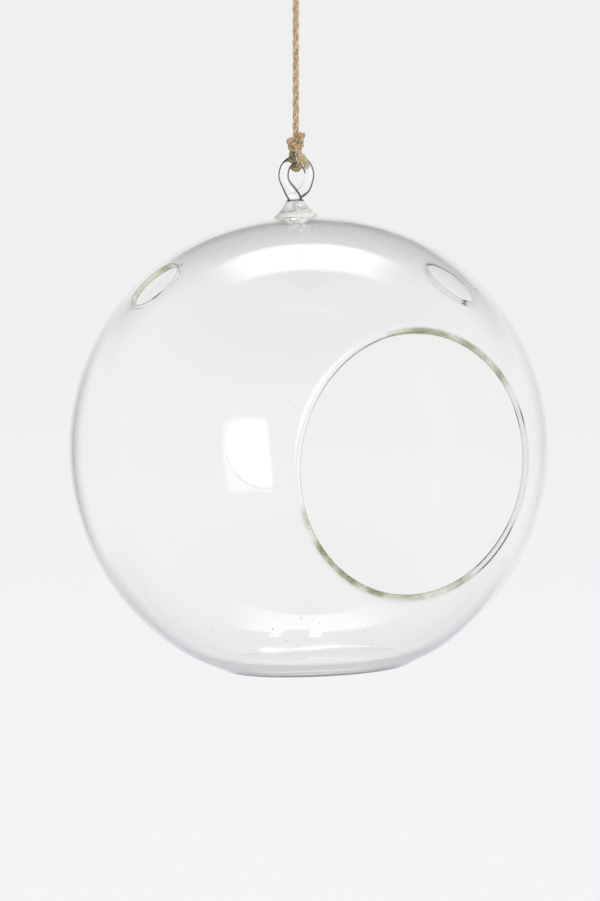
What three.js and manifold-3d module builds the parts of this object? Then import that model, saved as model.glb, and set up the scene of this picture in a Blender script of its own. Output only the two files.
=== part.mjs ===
// Hanging glass terrarium: a blown glass globe with a big side mouth and two small vents,
// hung by the glass ring on its crown from a length of jute twine.
//
// Millimetres, +Z up. The origin is the point where a ceiling hook bears, inside the top of
// the twine's upper loop. The mouth faces -Y and the vents face -X and +X.

import * as THREE from 'three';
import { mergeVertices } from 'three/addons/utils/BufferGeometryUtils.js';
import Module from 'manifold-3d';

const wasm = await Module();
wasm.setup();

const degree = Math.PI / 180;

// Globe; its cavity lies a little towards the mouth, so the wall is thickest at the back
const globeDiameter = 150;
const wallThickness = 1.5;
const crownDrop = 2.1;
const crownSpread = 30 * degree;
const baseFlatDiameter = 54;
const heelRadius = 6;
const innerHeelRadius = 3;
const heelDip = 0.6;
const heelSpread = 7.5 * degree;
const floorThickening = 0.4;
const cavityOffset = 0.167;

// Mouth, to the middle of its fire-polished lip
const mouthDiameter = 80.8;
const mouthPitch = -2.4 * degree;
const mouthLipThickness = 1.8;

// Vents, to the middle of their lips; their polar angles are from the crown, and each is turned
// a little about the upright axis: the left one away from the mouth, the right one towards it
const leftVentDiameter = 18.4;
const rightVentDiameter = 19.7;
const ventLipThickness = 1.7;
const leftVentPolar = 43.1 * degree;
const rightVentPolar = 47 * degree;
const leftVentTurn = 2.8 * degree;
const rightVentTurn = 3.2 * degree;

// Glass foot that is welded on the crown
const footDiameter = 13.4;
const footTopDiameter = 5.8;
const footHeight = 5.2;
const footEdgeThickness = 0.5;
const footFlare = 1.5;
const footLean = 0.7 * degree;

// Glass ring: a rod bent over the twine; its tip comes down on the foot behind its own stem
const rodDiameter = 3.2;
const rootDiameter = 4.3;
const ringRadius = 4.7;
const ringHeight = 12.3;
const tipOffset = -0.3;
const tipSetback = 3.5;
const tipHeight = 1.9;

// Where the rod bends, as shares of its way out sideways, of its rise and of its way back;
// the stem's first point lies in the foot and is cut off
const stemBends = [[-0.3, -0.26], [0, 0], [0.33, 0.26], [0.67, 0.53], [0.93, 0.78]];
const rootBend = 3;
const tipBends = [[0.9, 0.65, 0.06], [0.82, 0.28, 0.34], [0.62, 0.07, 0.69]];

// Jute twine
const twineDiameter = 2;
const tailDiameter = 1.6;
const lineLength = 46.7;
const knotDiameter = 5.3;
const turnLean = 14 * degree;
const bulgeLean = 32 * degree;
const turnLift = 0.5;
const loopWidth = 10;
const loopHeight = 18;
const loopLegSpacing = 2.5;
const legSpread = 0.62;
const ringTailLength = 1.6;
const ringTailLean = 0.1;
const topTailLength = 4;
const topTailSag = 0.3;

// Clearances
const seatGap = 0.3;

// How finely round surfaces are cut
const globeSegments = 52;
const globeSteps = 22;
const heelSteps = 4;
const lipSides = 8;
const mouthLipSegments = 56;
const ventLipSegments = 28;
const footSegments = 24;
const footSteps = 6;
const rodSides = 10;
const rodSteps = 30;
const rootSides = 16;
const twineSides = 8;
const turnSegments = 16;
const bightSteps = 16;
const loopSteps = 28;
const arcStep = 30 * degree;
const lineStep = 2.5 * twineDiameter;
const mergeTolerance = 1e-4;

const globeRadius = globeDiameter / 2;
const baseFlatRadius = baseFlatDiameter / 2;
const rodRadius = rodDiameter / 2;
const rootRadius = rootDiameter / 2;
const twineRadius = twineDiameter / 2;
const knotRadius = knotDiameter / 2;
const strandRadius = 0.9 * twineRadius;

const clearGlass = () => new THREE.MeshStandardMaterial({
  color: 0xe9efec,
  roughness: 0.03,
  metalness: 0,
  transparent: true,
  opacity: 0.3,
});
const jute = () => new THREE.MeshStandardMaterial({ color: 0xa98357, roughness: 0.95, metalness: 0 });

// A closed geometry as a solid that can be joined and cut
function solidOf(geometry) {
  const bare = geometry.clone();
  bare.deleteAttribute('normal');
  bare.deleteAttribute('uv');
  const merged = mergeVertices(bare, mergeTolerance);
  const corners = merged.index.array;
  const triangles = [];
  for (let i = 0; i < corners.length; i += 3) {
    const [a, b, c] = corners.slice(i, i + 3);
    if (a !== b && b !== c && c !== a) triangles.push(a, b, c);
  }
  return new wasm.Manifold(new wasm.Mesh({
    numProp: 3,
    vertProperties: Float32Array.from(merged.attributes.position.array),
    triVerts: Uint32Array.from(triangles),
  }));
}

function meshOf(name, solid, material) {
  const cut = solid.getMesh();
  const geometry = new THREE.BufferGeometry();
  geometry.setAttribute('position', new THREE.BufferAttribute(cut.vertProperties, cut.numProp));
  geometry.setIndex(new THREE.BufferAttribute(cut.triVerts, 1));
  geometry.computeVertexNormals();
  const mesh = new THREE.Mesh(geometry, material);
  mesh.name = name;
  return mesh;
}

// Turns a profile of (radius, height) points about Z; it runs upwards outside the solid
function turned(profile, segments) {
  return new THREE.LatheGeometry(profile, segments).rotateX(90 * degree);
}

// A round rod or cord along a curve
function tube(curve, radius, sides, steps) {
  const section = new THREE.Shape();
  for (let i = 0; i < sides; i += 1) {
    const turn = (i / sides) * 2 * Math.PI;
    section[i ? 'lineTo' : 'moveTo'](radius * Math.cos(turn), radius * Math.sin(turn));
  }
  return new THREE.ExtrudeGeometry(section, { steps, extrudePath: curve, bevelEnabled: false });
}

function smoothCurve(points) {
  return new THREE.CatmullRomCurve3(points, false, 'centripetal');
}

// Points of a half circle in the XZ plane, from -X over the top to +X
function overhead(radius, height) {
  const points = [];
  for (let turn = 180 * degree; turn > -arcStep / 2; turn -= arcStep) {
    points.push(new THREE.Vector3(radius * Math.cos(turn), 0, height + radius * Math.sin(turn)));
  }
  return points;
}

// How far the crown lies inside the sphere, at an angle from the crown
const crownDip = (polar) => crownDrop * Math.exp(-((polar / crownSpread) ** 2));

// One face of the globe's wall, from the middle of the base up to the crown; above the heel it
// lies a little inside the sphere
function globeProfile(radius, baseDrop, heel) {
  const heelTop = Math.atan2(heel - baseDrop, baseFlatRadius);
  const dip = radius - heel - Math.hypot(baseFlatRadius, heel - baseDrop);
  const profile = [new THREE.Vector2(0, -baseDrop)];
  for (let i = 0; i <= heelSteps; i += 1) {
    const turn = THREE.MathUtils.lerp(-90 * degree, heelTop, i / heelSteps);
    profile.push(new THREE.Vector2(
      baseFlatRadius + heel * Math.cos(turn),
      heel - baseDrop + heel * Math.sin(turn),
    ));
  }
  for (let i = 1; i <= globeSteps; i += 1) {
    const turn = THREE.MathUtils.lerp(heelTop, 90 * degree, i / globeSteps);
    const fade = Math.exp(-(((turn - heelTop) / heelSpread) ** 2));
    const reach = radius - crownDip(90 * degree - turn) - dip * fade;
    profile.push(new THREE.Vector2(i < globeSteps ? reach * Math.cos(turn) : 0, reach * Math.sin(turn)));
  }
  return profile;
}

// An opening in the wall: the cutter takes the wall away to the middle of the round lip
function opening(axis, diameter, lipThickness, segments) {
  const radius = diameter / 2;
  const lipReach = Math.sqrt((globeRadius - wallThickness / 2) ** 2 - radius ** 2);
  const facing = new THREE.Quaternion().setFromUnitVectors(new THREE.Vector3(0, 0, 1), axis);
  const place = (geometry, reach) => solidOf(
    geometry.applyQuaternion(facing).translate(...axis.clone().multiplyScalar(reach).toArray()),
  );
  const cutterLength = 2 * (globeRadius - lipReach + wallThickness);
  const cutter = new THREE.CylinderGeometry(radius, radius, cutterLength, segments);
  const lip = new THREE.TorusGeometry(radius, lipThickness / 2, lipSides, segments);
  return { cutter: place(cutter.rotateX(90 * degree), lipReach), lip: place(lip, lipReach) };
}

const heelReach = globeRadius - heelDip - heelRadius;
const baseDrop = heelRadius + Math.sqrt(heelReach ** 2 - baseFlatRadius ** 2);

// The direction of a vent's middle, by its angle from the crown and its turn from +X
function ventAxis(polar, turn) {
  const out = Math.sin(polar);
  return new THREE.Vector3(out * Math.cos(turn), out * Math.sin(turn), Math.cos(polar));
}

function globeShell() {
  const outer = solidOf(turned(globeProfile(globeRadius, baseDrop, heelRadius), globeSegments));
  const innerRadius = globeRadius - wallThickness;
  const floorDrop = baseDrop - wallThickness - floorThickening;
  const cavity = turned(globeProfile(innerRadius, floorDrop, innerHeelRadius), globeSegments);
  const inner = solidOf(cavity.translate(0, -cavityOffset, 0));
  const mouthAxis = new THREE.Vector3(0, -Math.cos(mouthPitch), Math.sin(mouthPitch));
  const leftAxis = ventAxis(leftVentPolar, 180 * degree - leftVentTurn);
  const rightAxis = ventAxis(rightVentPolar, -rightVentTurn);
  const openings = [
    opening(mouthAxis, mouthDiameter, mouthLipThickness, mouthLipSegments),
    opening(leftAxis, leftVentDiameter, ventLipThickness, ventLipSegments),
    opening(rightAxis, rightVentDiameter, ventLipThickness, ventLipSegments),
  ];
  let shell = outer.subtract(inner);
  for (const { cutter, lip } of openings) shell = shell.subtract(cutter).add(lip);
  return shell;
}

const crownHeight = globeRadius - crownDip(0);

// A low cone that flares out over the crown, with its underside on the crown
function hangerFoot() {
  const footRadius = footDiameter / 2;
  const topRadius = footTopDiameter / 2;
  const edgePolar = Math.asin(footRadius / crownHeight);
  const profile = [];
  for (let i = 0; i <= footSteps; i += 1) {
    const polar = (edgePolar * i) / footSteps;
    const reach = globeRadius - crownDip(polar) + seatGap;
    profile.push(new THREE.Vector2(reach * Math.sin(polar), reach * Math.cos(polar)));
  }
  const edge = profile[footSteps];
  const flareFoot = edge.y + footEdgeThickness;
  const flareTop = crownHeight + footHeight;
  for (let i = 0; i <= footSteps; i += 1) {
    const up = i / footSteps;
    profile.push(new THREE.Vector2(
      topRadius + (edge.x - topRadius) * (1 - up) ** footFlare,
      THREE.MathUtils.lerp(flareFoot, flareTop, up),
    ));
  }
  profile.push(new THREE.Vector2(0, flareTop));
  return solidOf(turned(profile, footSegments).rotateY(-footLean));
}

const footTop = crownHeight + footHeight;
const stemOffset = -footTop * Math.sin(footLean);
const ringTop = footTop + ringHeight;

// The rod climbs from the foot to the left, goes over the top and comes down on the right
function hangerRing() {
  const stemFoot = footTop + seatGap;
  const ringCentre = ringTop - ringRadius;
  const points = stemBends.map(([out, up]) => new THREE.Vector3(
    THREE.MathUtils.lerp(stemOffset, -ringRadius, out),
    0,
    THREE.MathUtils.lerp(stemFoot, ringCentre, up),
  ));
  const rise = points[rootBend].clone().sub(points[0]);
  const upright = new THREE.Vector3(0, 1, 0);
  const root = new THREE.CylinderGeometry(rodRadius, rootRadius, rise.length(), rootSides)
    .applyQuaternion(new THREE.Quaternion().setFromUnitVectors(upright, rise.clone().normalize()))
    .translate(...points[0].clone().addScaledVector(rise, 0.5).toArray());
  points.push(...overhead(ringRadius, ringCentre));
  const tip = new THREE.Vector3(tipOffset, tipSetback, footTop + tipHeight);
  for (const [out, up, back] of tipBends) {
    points.push(new THREE.Vector3(
      THREE.MathUtils.lerp(tip.x, ringRadius, out),
      tip.y * back,
      THREE.MathUtils.lerp(tip.z, ringCentre, up),
    ));
  }
  points.push(tip);
  return solidOf(tube(smoothCurve(points), rodRadius, rodSides, rodSteps))
    .add(solidOf(root))
    .trimByPlane([0, 0, 1], stemFoot);
}

// Two turns of twine drawn tight round the strand in the middle; the upper one leans
function knot(upperLean) {
  const turnRadius = knotRadius - twineRadius;
  const core = solidOf(new THREE.SphereGeometry(knotRadius - twineRadius / 2, turnSegments, twineSides));
  const wrap = (lean, lift) => solidOf(
    new THREE.TorusGeometry(turnRadius, twineRadius, twineSides, turnSegments)
      .rotateY(lean)
      .translate(0, 0, lift),
  );
  const strand = new THREE.CylinderGeometry(strandRadius, strandRadius, knotDiameter, twineSides);
  return core
    .add(solidOf(strand.rotateX(90 * degree)))
    .add(wrap(upperLean, turnLift))
    .add(wrap(-turnLean, -turnLift));
}

// The cut end of the twine, which stands out of a knot
function tail(from, to) {
  const steps = Math.max(2, Math.round(from.distanceTo(to) / tailDiameter));
  const curve = new THREE.LineCurve3(from, to);
  return solidOf(tube(curve, tailDiameter / 2, twineSides, steps));
}

const knotReach = knotRadius + seatGap;

// The bight hugs the rod and its two ends stop at the knot
function ringBight() {
  const hug = rodRadius + seatGap + twineRadius;
  const knotLift = rodRadius + seatGap + knotRadius;
  const reach = knotReach + seatGap / 3;
  const half = Math.acos((reach ** 2 - hug ** 2 - knotLift ** 2) / (2 * hug * knotLift));
  const points = [];
  for (let i = 0; i <= bightSteps; i += 1) {
    const turn = THREE.MathUtils.lerp(-half, half, i / bightSteps);
    points.push(new THREE.Vector3(0, hug * Math.sin(turn), -hug * Math.cos(turn)));
  }
  return solidOf(tube(smoothCurve(points), twineRadius, twineSides, bightSteps));
}

// The upper loop, from one leg at the knot round to the other; heights are from the knot
function hangingLoop() {
  const leg = loopLegSpacing / 2;
  const half = loopWidth / 2;
  const roundCentre = loopHeight + twineRadius - half;
  const spread = THREE.MathUtils.lerp(leg, half, legSpread);
  const legOf = (side) => [
    new THREE.Vector3(side * leg, 0, knotReach),
    new THREE.Vector3(side * leg, 0, knotReach + twineRadius),
    new THREE.Vector3(side * spread, 0, (knotReach + roundCentre) / 2),
  ];
  const points = [...legOf(-1), ...overhead(half, roundCentre), ...legOf(1).reverse()];
  return solidOf(tube(smoothCurve(points), twineRadius, twineSides, loopSteps));
}

// The taut stretch between the two knots; heights are from the upper knot
function twineLine() {
  const top = new THREE.Vector3(0, 0, -knotReach);
  const bottom = new THREE.Vector3(0, 0, -knotReach - lineLength);
  const steps = Math.round(lineLength / lineStep);
  return solidOf(tube(new THREE.LineCurve3(top, bottom), twineRadius, twineSides, steps));
}

function massCentre(solids) {
  const centre = new THREE.Vector3();
  let volume = 0;
  for (const solid of solids) {
    const { vertProperties, triVerts } = solid.getMesh();
    const corner = (i) => new THREE.Vector3().fromArray(vertProperties, 3 * triVerts[i]);
    for (let i = 0; i < triVerts.length; i += 3) {
      const [a, b, c] = [corner(i), corner(i + 1), corner(i + 2)];
      const part = a.dot(b.clone().cross(c)) / 6;
      centre.addScaledVector(a.add(b).add(c), part / 4);
      volume += part;
    }
  }
  return centre.divideScalar(volume);
}

const terrarium = new THREE.Group();

// Upper loop and its knot
const topKnotGroup = new THREE.Group();
topKnotGroup.name = 'at_top_knot';
topKnotGroup.position.z = -loopHeight;
const topTailStart = new THREE.Vector3(knotReach, 0, 0);
const topTailEnd = topTailStart.clone()
  .add(new THREE.Vector3(topTailLength, 0, -topTailSag * topTailLength));
topKnotGroup.add(
  meshOf('hanging_loop', hangingLoop(), jute()),
  meshOf('top_knot', knot(turnLean), jute()),
  meshOf('top_knot_tail', tail(topTailStart, topTailEnd), jute()),
  meshOf('twine_line', twineLine(), jute()),
);

// Knot at the ring, with its cut tail beside the line
const ringKnotGroup = new THREE.Group();
ringKnotGroup.name = 'at_ring_knot';
ringKnotGroup.position.z = topKnotGroup.position.z - 2 * knotReach - lineLength;
const tailOffset = twineRadius + seatGap + tailDiameter / 2;
const ringTailFoot = Math.sqrt(knotReach ** 2 - (tailOffset - tailDiameter / 2) ** 2);
const ringTailStart = new THREE.Vector3(tailOffset, 0, ringTailFoot);
const ringTailEnd = ringTailStart.clone()
  .add(new THREE.Vector3(ringTailLean * ringTailLength, 0, ringTailLength));
ringKnotGroup.add(
  meshOf('ring_knot', knot(bulgeLean), jute()),
  meshOf('ring_knot_tail', tail(ringTailStart, ringTailEnd), jute()),
);

// The bight and all the glass turn about the middle of the ring's rod
const ringTopGroup = new THREE.Group();
ringTopGroup.name = 'at_ring_top';
ringTopGroup.position.z = ringKnotGroup.position.z - knotRadius - seatGap - rodRadius;
ringTopGroup.add(meshOf('ring_bight', ringBight(), jute()));

// The globe hangs with its mass centre plumb below the rod, so its mouth side sits higher
const glass = {
  hanger_ring: hangerRing(),
  hanger_foot: hangerFoot(),
  globe_shell: globeShell(),
};
const plumb = massCentre(Object.values(glass));
const globeGroup = new THREE.Group();
globeGroup.name = 'globe';
globeGroup.rotation.x = -Math.atan2(plumb.y, ringTop - plumb.z);
const globeBody = new THREE.Group();
globeBody.position.z = -ringTop;
for (const [name, solid] of Object.entries(glass)) globeBody.add(meshOf(name, solid, clearGlass()));
globeGroup.add(globeBody);
ringTopGroup.add(globeGroup);

terrarium.add(topKnotGroup, ringKnotGroup, ringTopGroup);

export default terrarium;
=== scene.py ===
"""Looks of the hanging glass terrarium: a clear blown globe with its foot and ring, on jute twine.

The row frame is in metres. The glass is worked out in millimetres about the globe's centre and
then tilted and put in place.
"""

import math
from math import pi, radians

import bmesh
import bpy
import numpy as np
from mathutils import Matrix, Vector, geometry


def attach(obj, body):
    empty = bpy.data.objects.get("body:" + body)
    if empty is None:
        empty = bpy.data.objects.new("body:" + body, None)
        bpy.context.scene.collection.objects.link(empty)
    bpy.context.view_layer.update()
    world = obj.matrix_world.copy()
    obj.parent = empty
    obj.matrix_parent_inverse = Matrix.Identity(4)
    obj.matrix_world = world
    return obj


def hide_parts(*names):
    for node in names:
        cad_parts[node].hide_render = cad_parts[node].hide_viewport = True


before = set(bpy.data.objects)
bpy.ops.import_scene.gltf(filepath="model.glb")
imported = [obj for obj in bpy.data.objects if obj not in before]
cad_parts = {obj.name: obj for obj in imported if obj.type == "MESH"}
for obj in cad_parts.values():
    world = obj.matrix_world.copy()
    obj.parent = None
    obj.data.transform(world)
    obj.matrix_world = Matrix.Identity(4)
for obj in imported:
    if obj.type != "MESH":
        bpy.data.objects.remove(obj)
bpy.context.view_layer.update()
chance = np.random.default_rng(7)

# Where the glass hangs, in millimetres: the rod's middle at the ring's top is the hinge
HINGE_HEIGHT = -75.15
RING_TOP = 90.4
TILT = radians(4.894)

# Globe
GLOBE_RADIUS = 75.0
WALL = 1.5
MIDDLE = GLOBE_RADIUS - WALL / 2
CROWN_DROP = 2.1
CROWN_SPREAD = radians(30)
CROWN = GLOBE_RADIUS - CROWN_DROP
BASE_FLAT = 27.0
HEEL = 6.0
HEEL_SPREAD = radians(7.5)
FLOOR_DROP = 68.85
INNER_HEEL = 3.0
INNER_FLOOR_DROP = 66.95
CAVITY_SHIFT = np.array([0.0, -0.167, 0.0])
MESH_STEP = 2.3
WALL_SEEDS = 46
FOOT_SEEDS = 6
HEEL_RINGS = (20.5, 21.2, 21.6, 22.0, 22.4, 22.8, 23.2, 23.8, 24.6)
HEEL_SEGMENTS = 160

# Openings: radius to the lip's middle, and half the lip's thickness
MOUTH_PITCH = radians(-2.4)
MOUTH_RADIUS = 40.4
MOUTH_LIP = 0.9
MOUTH_SEGMENTS = 224
VENT_LIP = 0.85
VENT_SEGMENTS = 72
# Each vent's angle from straight up, turn about the upright, and radius
VENTS = [
    (radians(43.1), pi - radians(2.8), 9.2),
    (radians(47.0), radians(-3.2), 9.85),
]
LIP_FADE = 1.2
LIP_DEPTH = 4
NEAR_RIM = 0.62
# Middle and half of each stretch, in degrees round the opening from its level side
OLIVE_STRETCHES = [[(67, 32), (-113, 50)], [(157, 58)], []]
# The dark stretches are painted shade along the rims' outlines
PAINTED_DARK_STRETCHES = [[(17, 4), (-44, 13)], [(-30, 11)], [(-77, 7), (130, 50)]]
MOST_BOUNCES = 5.5
# How much painted dark outline the lips get
LIP_PAINTED_OUTLINE = 0.35
# Strength of the painted highlight that glows along the back edge of the floor
PAINTED_GLINT = 0.38
# Painted shade where the wall is seen on edge: how clear it is tinted, by how far it turns from the
# eye
PAINTED_LIMB_RAMP = [
    (0.66, 1), (0.70, 0.88), (0.725, 0.72), (0.74, 0.60), (0.756, 0.48), (0.773, 0.38),
    (0.792, 0.28), (0.813, 0.10), (0.836, 0.25), (0.864, 0.47), (0.90, 0.58), (1.0, 1),
]
# The room's mean brightness by height, from under the globe to its crown
ROOM_MEAN = [(0.10, (0.60, 0.60, 0.63)), (0.25, 0.76), (0.78, 0.78), (0.91, 0.72), (0.95, 0.45)]
LIP_STRIP = [0.35, 0.8, 1.4, 2.1, 3.0, 4.1, 5.4]

# Foot and ring
FOOT_LEAN = radians(0.7)
FOOT_RADIUS = 6.7
FOOT_TOP_RADIUS = 2.9
FOOT_HEIGHT = 5.2
# Each curl of air: to the right, towards the camera, up, its half width, turns and thickness
FOOT_SWIRLS = [
    (-0.9, 2.6, 2, 1.3, 0.6, 0.7), (2.3, 1.8, 1.6, 1.1, 0.5, 0.6),
    (-3.2, 1.2, 1.3, 0.8, 0.5, 0.5), (0.3, 0.9, 3.5, 1.1, 0.5, 0.5),
    (0.9, -2.2, 1.9, 1.2, 0.55, 0.6),
]
WELD_RADIUS = 9.4
WELD_SEGMENTS = 64
RING_RADIUS = 4.7
ROD_RADIUS = 1.6
ROOT_RADIUS = 2.1
SEAM_LOW, SEAM_HIGH, SEAM_WIDTH = 76.5, 81.0, 0.7
SEAM_ROUNDS = 6

# Twine: three plies laid round each other, and where its knots are
TWINE_RADIUS = 1.0
PLY_RADIUS = 0.464
PLY_OFFSET = 0.536
PLY_SIDES = 14
TWINE_LAY = 11.0
TWINE_STEP = 0.33
TOP_KNOT = -18.0
RING_KNOT = -70.6
KNOT_REACH = 2.95
LINE_POINTS = 143
FRAYED_FIBRES = 150
LINE_TOP = TOP_KNOT - KNOT_REACH
LINE_BOTTOM = RING_KNOT + KNOT_REACH


def unit(vectors):
    return vectors / np.linalg.norm(vectors, axis=-1, keepdims=True)


def square_to(axes):
    """Two directions that are square to each axis and to each other."""
    helper = np.where(np.abs(axes[..., 2:]) < 0.9, [0.0, 0.0, 1.0], [1.0, 0.0, 0.0])
    first = unit(np.cross(helper, axes))
    return first, np.cross(axes, first)


def angle_from(axis, directions):
    return np.arccos(np.clip(directions @ axis, -1, 1))


def turned(directions):
    """Directions about the globe, turned as the globe hangs."""
    x, y, z = np.asarray(directions, float).T
    cos, sin = math.cos(TILT), math.sin(TILT)
    return np.stack([x, y * cos + z * sin, z * cos - y * sin], -1)


def placed(points):
    """Points about the globe's centre, in millimetres, as points of the row frame in metres."""
    return (turned(np.asarray(points) - [0, 0, RING_TOP]) + [0, 0, HINGE_HEIGHT]) / 1000


# The camera stands where the photograph's did; pan and pitch are degrees off the globe's centre
CAMERA_TURN = radians(-30.5)
CAMERA_RISE = radians(7.9)
CAMERA_DISTANCE = 1.5
CAMERA_LENS = 191.2
CAMERA_PAN = -0.10
CAMERA_PITCH = -0.02
ACROSS_VIEW = (math.cos(CAMERA_TURN), math.sin(CAMERA_TURN), 0)
ALONG_VIEW = (-math.sin(CAMERA_TURN), math.cos(CAMERA_TURN), 0)


def from_camera(side, rise):
    """A direction from the globe, by degrees to the camera's right and above its line of sight."""
    out = Vector((
        math.sin(CAMERA_TURN) * math.cos(CAMERA_RISE),
        -math.cos(CAMERA_TURN) * math.cos(CAMERA_RISE),
        math.sin(CAMERA_RISE),
    ))
    right = Vector((0, 0, 1)).cross(out).normalized()
    up = out.cross(right)
    a, e = radians(side), radians(rise)
    return out * math.cos(a) * math.cos(e) + right * math.sin(a) * math.cos(e) + up * math.sin(e)


def facing_camera(right, near, up):
    """Points by how far they lie to the camera's right, towards it and up, in millimetres."""
    cos, sin = math.cos(CAMERA_TURN), math.sin(CAMERA_TURN)
    return [cos * right + sin * near, sin * right - cos * near, up]


def linked(name, data):
    """A new object in the scene."""
    made = bpy.data.objects.new(name, data)
    bpy.context.scene.collection.objects.link(made)
    return made


def beside_globe(made, direction, distance):
    """Puts an object beside the globe, in metres from its centre."""
    made.location = Vector(placed([[0, 0, 0]])[0]) + direction * distance
    made.rotation_mode = "QUATERNION"


def make_camera():
    camera = linked("camera", bpy.data.cameras.new("camera"))
    camera.data.lens = CAMERA_LENS
    camera.data.clip_end = 100
    beside_globe(camera, from_camera(0, 0), CAMERA_DISTANCE)
    forward = from_camera(180 - CAMERA_PAN, CAMERA_PITCH)
    camera.rotation_quaternion = forward.to_track_quat("-Z", "Y")
    bpy.context.scene.camera = camera


def rgba(colour):
    """A grey or a colour as the four numbers of a colour socket."""
    return (*colour, 1) if isinstance(colour, tuple) else (colour, colour, colour, 1)


class Nodes:
    """A node tree that is put together by calls, each of which adds one node."""

    def __init__(self, owner):
        owner.use_nodes = True
        self.nodes, self.links = owner.node_tree.nodes, owner.node_tree.links

    def put(self, node, inputs):
        """Gives a node's inputs, by name or number, fixed values or other nodes' outputs."""
        for name, value in inputs.items():
            if isinstance(value, bpy.types.NodeSocket):
                self.links.new(value, node.inputs[name])
            else:
                node.inputs[name].default_value = value

    def add(self, kind, output, inputs=None, **settings):
        """Adds a node with its settings and inputs, and gives one of its outputs."""
        node = self.nodes.new("ShaderNode" + kind)
        for name, value in settings.items():
            setattr(node, name, value)
        self.put(node, inputs or {})
        return node.outputs[output]

    def mark(self, name):
        """How much of a mark the mesh has at a point."""
        return self.add("Attribute", "Fac", attribute_name=name)

    def math(self, operation, *values):
        return self.add("Math", 0, dict(enumerate(values)), operation=operation)

    def vectors(self, operation, output, *values):
        return self.add("VectorMath", output, dict(enumerate(values)), operation=operation)

    def noise(self, where, scale, detail, roughness=0.5):
        inputs = {"Vector": where, "Scale": scale, "Detail": detail, "Roughness": roughness}
        return self.add("TexNoise", "Fac", inputs)

    def bump(self, height, strength, distance):
        inputs = {"Strength": strength, "Distance": distance, "Height": height}
        return self.add("Bump", "Normal", inputs)

    def span(self, value, start, end, low=0, high=1, kind="LINEAR"):
        """From low to high, as a value goes from start to end."""
        inputs = {"Value": value, "From Min": start, "From Max": end, "To Min": low, "To Max": high}
        return self.add("MapRange", "Result", inputs, interpolation_type=kind)

    def ramp(self, value, stops, kind="LINEAR"):
        """Colours along a value: the position and the grey or colour of each stop, in order."""
        node = self.nodes.new("ShaderNodeValToRGB")
        node.color_ramp.interpolation = kind
        first, last = node.color_ramp.elements
        first.position, first.color = stops[0][0], rgba(stops[0][1])
        last.position, last.color = stops[-1][0], rgba(stops[-1][1])
        for position, colour in stops[1:-1]:
            node.color_ramp.elements.new(position).color = rgba(colour)
        self.put(node, {"Fac": value})
        return node.outputs["Color"]

    def mix(self, share, one, other, kind="MIX"):
        """One colour, or the other where the share is 1."""
        inputs = {"Factor": share, "A": one, "B": other}
        return self.add("Mix", "Result", inputs, data_type="RGBA", blend_type=kind)

    def shaders(self, share, one, other):
        """One shader, or the other where the share is 1."""
        return self.add("MixShader", 0, {0: share, 1: one, 2: other})


def new_mesh(name, points, faces):
    mesh = bpy.data.meshes.new(name)
    mesh.from_pydata(points.tolist(), [], faces)
    return mesh


def new_material(name):
    """A material with its node tree and its surface node."""
    material = bpy.data.materials.new(name)
    tree = Nodes(material)
    return material, tree, tree.nodes["Principled BSDF"]


def show(tree, **outputs):
    """Links shaders to the tree's own output."""
    tree.put(tree.nodes["Material Output"], outputs)


def add_mark(mesh, kind, values):
    """Writes how much of something each point of a mesh is."""
    mesh.attributes.new(kind, "FLOAT", "POINT").data.foreach_set("value", values)


def rim(turn, first, second):
    """Directions at some turn between two that are square to each other."""
    return np.cos(turn)[..., None] * first + np.sin(turn)[..., None] * second


def tube_faces(rows, sides, first=0, ends=True):
    """Faces of a tube whose points go round row by row."""
    faces = []
    for one in range(first, first + (rows - 1) * sides, sides):
        for j in range(sides):
            k = (j + 1) % sides
            faces.append((one + j, one + k, one + sides + k, one + sides + j))
    if ends:
        last = first + (rows - 1) * sides
        faces.append(tuple(range(first, first + sides))[::-1])
        faces.append(tuple(range(last, last + sides)))
    return faces


def points_round(line, reach):
    """Points round a line: row by row, how far each one is from it."""
    _, first, second = frames(line)
    turn = np.arange(reach.shape[1]) * 2 * pi / reach.shape[1]
    out = rim(turn[None, :], first[:, None], second[:, None])
    return (line[:, None] + out * reach[..., None]).reshape(-1, 3)


def smooth_line(points, step):
    """Evenly spaced points on a smooth curve through the given ones."""
    points = np.asarray(points, float)
    ends = np.vstack([2 * points[0] - points[1], points, 2 * points[-1] - points[-2]])
    knots = np.concatenate([[0], np.cumsum(np.sqrt(np.linalg.norm(np.diff(ends, axis=0), axis=1)))])
    fine = []
    for i in range(1, len(ends) - 2):
        for t in np.linspace(knots[i], knots[i + 1], 40, endpoint=False):
            fine.append(centripetal(ends[i - 1 : i + 3], knots[i - 1 : i + 3], t))
    fine = np.array([*fine, points[-1]])
    length = lengths_along(fine)
    even = np.linspace(0, length[-1], max(2, round(length[-1] / step) + 1))
    return np.stack([np.interp(even, length, fine[:, k]) for k in range(points.shape[1])], -1)


def centripetal(p, t, at):
    a = [p[i] + (p[i + 1] - p[i]) * (at - t[i]) / (t[i + 1] - t[i]) for i in range(3)]
    b = [a[i] + (a[i + 1] - a[i]) * (at - t[i]) / (t[i + 2] - t[i]) for i in range(2)]
    return b[0] + (b[1] - b[0]) * (at - t[1]) / (t[2] - t[1])


def lengths_along(line):
    return np.concatenate([[0], np.cumsum(np.linalg.norm(np.diff(line, axis=0), axis=1))])


def frames(line):
    """Directions across a line that turn as little as they can: (tangents, sides, others)."""
    tangents = unit(np.gradient(line, axis=0))
    side = unit(np.cross(tangents[0], [0.3, 0.9, 0.2]))
    sides = []
    for tangent in tangents:
        side = unit(side - (side @ tangent) * tangent)
        sides.append(side)
    sides = np.array(sides)
    return tangents, sides, np.cross(tangents, sides)


def rounded(radii, left, reach, least):
    """Radii that end in a round tip, by how far each point is from the tip."""
    near = np.clip(1 - left / reach, 0, 1)
    return radii * np.sqrt(np.maximum(1 - near**2, least))


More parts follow.
